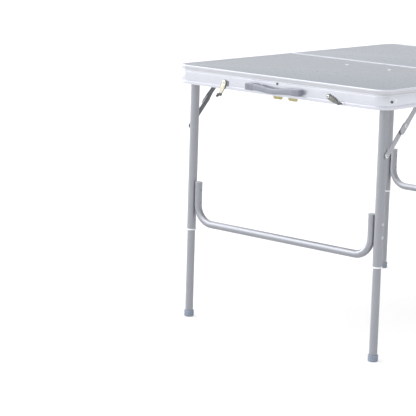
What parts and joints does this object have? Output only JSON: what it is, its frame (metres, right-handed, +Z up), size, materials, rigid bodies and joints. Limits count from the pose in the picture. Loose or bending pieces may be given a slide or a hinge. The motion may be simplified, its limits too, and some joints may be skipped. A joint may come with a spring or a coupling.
{
  "type": "folding picnic table",
  "caption": "Suitcase-style folding table with a hinged two-part top in aluminium rims, telescoping legs, crossbars, folding braces, handle and latches.",
  "frame": {"origin": "on the ground under the middle of the table", "axes": "+X along the table, away from the handle end; +Y to the left as seen from the handle end; +Z up"},
  "size_m": [1.0257, 0.7028, 0.7],
  "materials": {
    "laminate": "satin mottled laminate on fibreboard",
    "rim": "satin anodised extrusion",
    "tube": "satin drawn tube",
    "brace": "satin strip",
    "zinc_steel": "zinc plated",
    "rivet": "satin",
    "handle": "fine-grained moulded",
    "foot": "moulded",
    "collar": "moulded",
    "latch": "dull zinc",
    "tab": "dull"
  },
  "bodies": {
    "near_half": {"rim_near": "rim", "top_panel_near": "laminate", "seam_rail_near": "rim", "handle_mount_left": "handle", "handle_mount_right": "handle", "latch_rivet_left": "rivet", "latch_rivet_right": "rivet", "guide_tab_left": "tab", "guide_tab_right": "tab", "hinge_leaf_near_left": "zinc_steel", "leg_mount_near_left": "zinc_steel", "leg_pin_near_left": "rivet", "brace_bracket_near_left": "zinc_steel", "hinge_leaf_near_right": "zinc_steel", "leg_mount_near_right": "zinc_steel", "leg_pin_near_right": "rivet", "brace_bracket_near_right": "zinc_steel"},
    "far_half": {"rim_far": "rim", "top_panel_far": "laminate", "seam_rail_far": "rim", "keeper_left": "zinc_steel", "keeper_right": "zinc_steel", "hinge_leaf_far_left": "zinc_steel", "leg_mount_far_left": "zinc_steel", "leg_pin_far_left": "rivet", "brace_bracket_far_left": "zinc_steel", "hinge_leaf_far_right": "zinc_steel", "leg_mount_far_right": "zinc_steel", "leg_pin_far_right": "rivet", "brace_bracket_far_right": "zinc_steel"},
    "near_legs": {"crossbar_near": "tube", "leg_tube_near_left": "tube", "leg_collar_near_left": "collar", "leg_tube_near_right": "tube", "leg_collar_near_right": "collar"},
    "far_legs": {"crossbar_far": "tube", "leg_tube_far_left": "tube", "leg_collar_far_left": "collar", "leg_tube_far_right": "tube", "leg_collar_far_right": "collar"},
    "near_left_slide": {"leg_slide_near_left": "tube", "foot_cap_near_left": "foot"},
    "near_left_brace_upper": {"brace_upper_near_left": "brace"},
    "near_left_brace_lower": {"brace_lower_near_left": "brace"},
    "near_right_slide": {"leg_slide_near_right": "tube", "foot_cap_near_right": "foot"},
    "near_right_brace_upper": {"brace_upper_near_right": "brace"},
    "near_right_brace_lower": {"brace_lower_near_right": "brace"},
    "far_left_slide": {"leg_slide_far_left": "tube", "foot_cap_far_left": "foot"},
    "far_left_brace_upper": {"brace_upper_far_left": "brace"},
    "far_left_brace_lower": {"brace_lower_far_left": "brace"},
    "far_right_slide": {"leg_slide_far_right": "tube", "foot_cap_far_right": "foot"},
    "far_right_brace_upper": {"brace_upper_far_right": "brace"},
    "far_right_brace_lower": {"brace_lower_far_right": "brace"},
    "handle": {"handle_grip": "handle"},
    "left_latch": {"latch_left": "latch"},
    "right_latch": {"latch_right": "latch"}
  },
  "joints": [
    {"name": "seam_fold", "type": "hinge", "parent": "near_half", "child": "far_half", "pos_m": [0, 0, 0.6475], "axis": [0, 1, 0], "range_deg": [0, 66]},
    {"name": "near_legs_unfold", "type": "hinge", "parent": "near_half", "child": "near_legs", "pos_m": [-0.455, 0, 0.674], "axis": [0, 1, 0], "range_deg": [-84, 0]},
    {"name": "near_left_leg_extend", "type": "slide", "parent": "near_legs", "child": "near_left_slide", "axis": [0, 0, -1], "range_m": [-0.22, 0]},
    {"name": "near_left_brace_upper_turn", "type": "hinge", "parent": "near_half", "child": "near_left_brace_upper", "pos_m": [-0.3133, 0.3153, 0.674], "axis": [0, 1, 0], "range_deg": [-127.5, 0]},
    {"name": "near_left_brace_lower_turn", "type": "hinge", "parent": "near_legs", "child": "near_left_brace_lower", "pos_m": [-0.455, 0.3153, 0.531], "axis": [0, 1, 0], "range_deg": [0, 128.2]},
    {"name": "near_right_leg_extend", "type": "slide", "parent": "near_legs", "child": "near_right_slide", "axis": [0, 0, -1], "range_m": [-0.22, 0]},
    {"name": "near_right_brace_upper_turn", "type": "hinge", "parent": "near_half", "child": "near_right_brace_upper", "pos_m": [-0.3133, -0.3153, 0.674], "axis": [0, 1, 0], "range_deg": [-127.5, 0]},
    {"name": "near_right_brace_lower_turn", "type": "hinge", "parent": "near_legs", "child": "near_right_brace_lower", "pos_m": [-0.455, -0.3153, 0.531], "axis": [0, 1, 0], "range_deg": [0, 128.2]},
    {"name": "far_legs_unfold", "type": "hinge", "parent": "far_half", "child": "far_legs", "pos_m": [0.455, 0, 0.674], "axis": [0, -1, 0], "range_deg": [-84, 0]},
    {"name": "far_left_leg_extend", "type": "slide", "parent": "far_legs", "child": "far_left_slide", "axis": [0, 0, -1], "range_m": [-0.22, 0]},
    {"name": "far_left_brace_upper_turn", "type": "hinge", "parent": "far_half", "child": "far_left_brace_upper", "pos_m": [0.3133, 0.3153, 0.674], "axis": [0, -1, 0], "range_deg": [-127.5, 0]},
    {"name": "far_left_brace_lower_turn", "type": "hinge", "parent": "far_legs", "child": "far_left_brace_lower", "pos_m": [0.455, 0.3153, 0.531], "axis": [0, -1, 0], "range_deg": [0, 128.2]},
    {"name": "far_right_leg_extend", "type": "slide", "parent": "far_legs", "child": "far_right_slide", "axis": [0, 0, -1], "range_m": [-0.22, 0]},
    {"name": "far_right_brace_upper_turn", "type": "hinge", "parent": "far_half", "child": "far_right_brace_upper", "pos_m": [0.3133, -0.3153, 0.674], "axis": [0, -1, 0], "range_deg": [-127.5, 0]},
    {"name": "far_right_brace_lower_turn", "type": "hinge", "parent": "far_legs", "child": "far_right_brace_lower", "pos_m": [0.455, -0.3153, 0.531], "axis": [0, -1, 0], "range_deg": [0, 128.2]},
    {"name": "handle_swing", "type": "hinge", "parent": "near_half", "child": "handle", "pos_m": [-0.5115, 0, 0.668], "axis": [0, 1, 0], "range_deg": [0, 90]},
    {"name": "left_latch_turn", "type": "hinge", "parent": "near_half", "child": "left_latch", "pos_m": [-0.5019, 0.1735, 0.6685], "axis": [1, 0, 0], "range_deg": [-20, 70]},
    {"name": "right_latch_turn", "type": "hinge", "parent": "near_half", "child": "right_latch", "pos_m": [-0.5019, -0.1735, 0.6685], "axis": [-1, 0, 0], "range_deg": [-66, 24]}
  ],
  "couplings": [
    {"joint": "near_left_brace_upper_turn", "follows": "near_legs_unfold", "ratio": 1.5172},
    {"joint": "near_left_brace_lower_turn", "follows": "near_legs_unfold", "ratio": -1.5246},
    {"joint": "near_right_brace_upper_turn", "follows": "near_legs_unfold", "ratio": 1.5172},
    {"joint": "near_right_brace_lower_turn", "follows": "near_legs_unfold", "ratio": -1.5246},
    {"joint": "far_left_brace_upper_turn", "follows": "far_legs_unfold", "ratio": 1.5172},
    {"joint": "far_left_brace_lower_turn", "follows": "far_legs_unfold", "ratio": -1.5246},
    {"joint": "far_right_brace_upper_turn", "follows": "far_legs_unfold", "ratio": 1.5172},
    {"joint": "far_right_brace_lower_turn", "follows": "far_legs_unfold", "ratio": -1.5246}
  ]
}
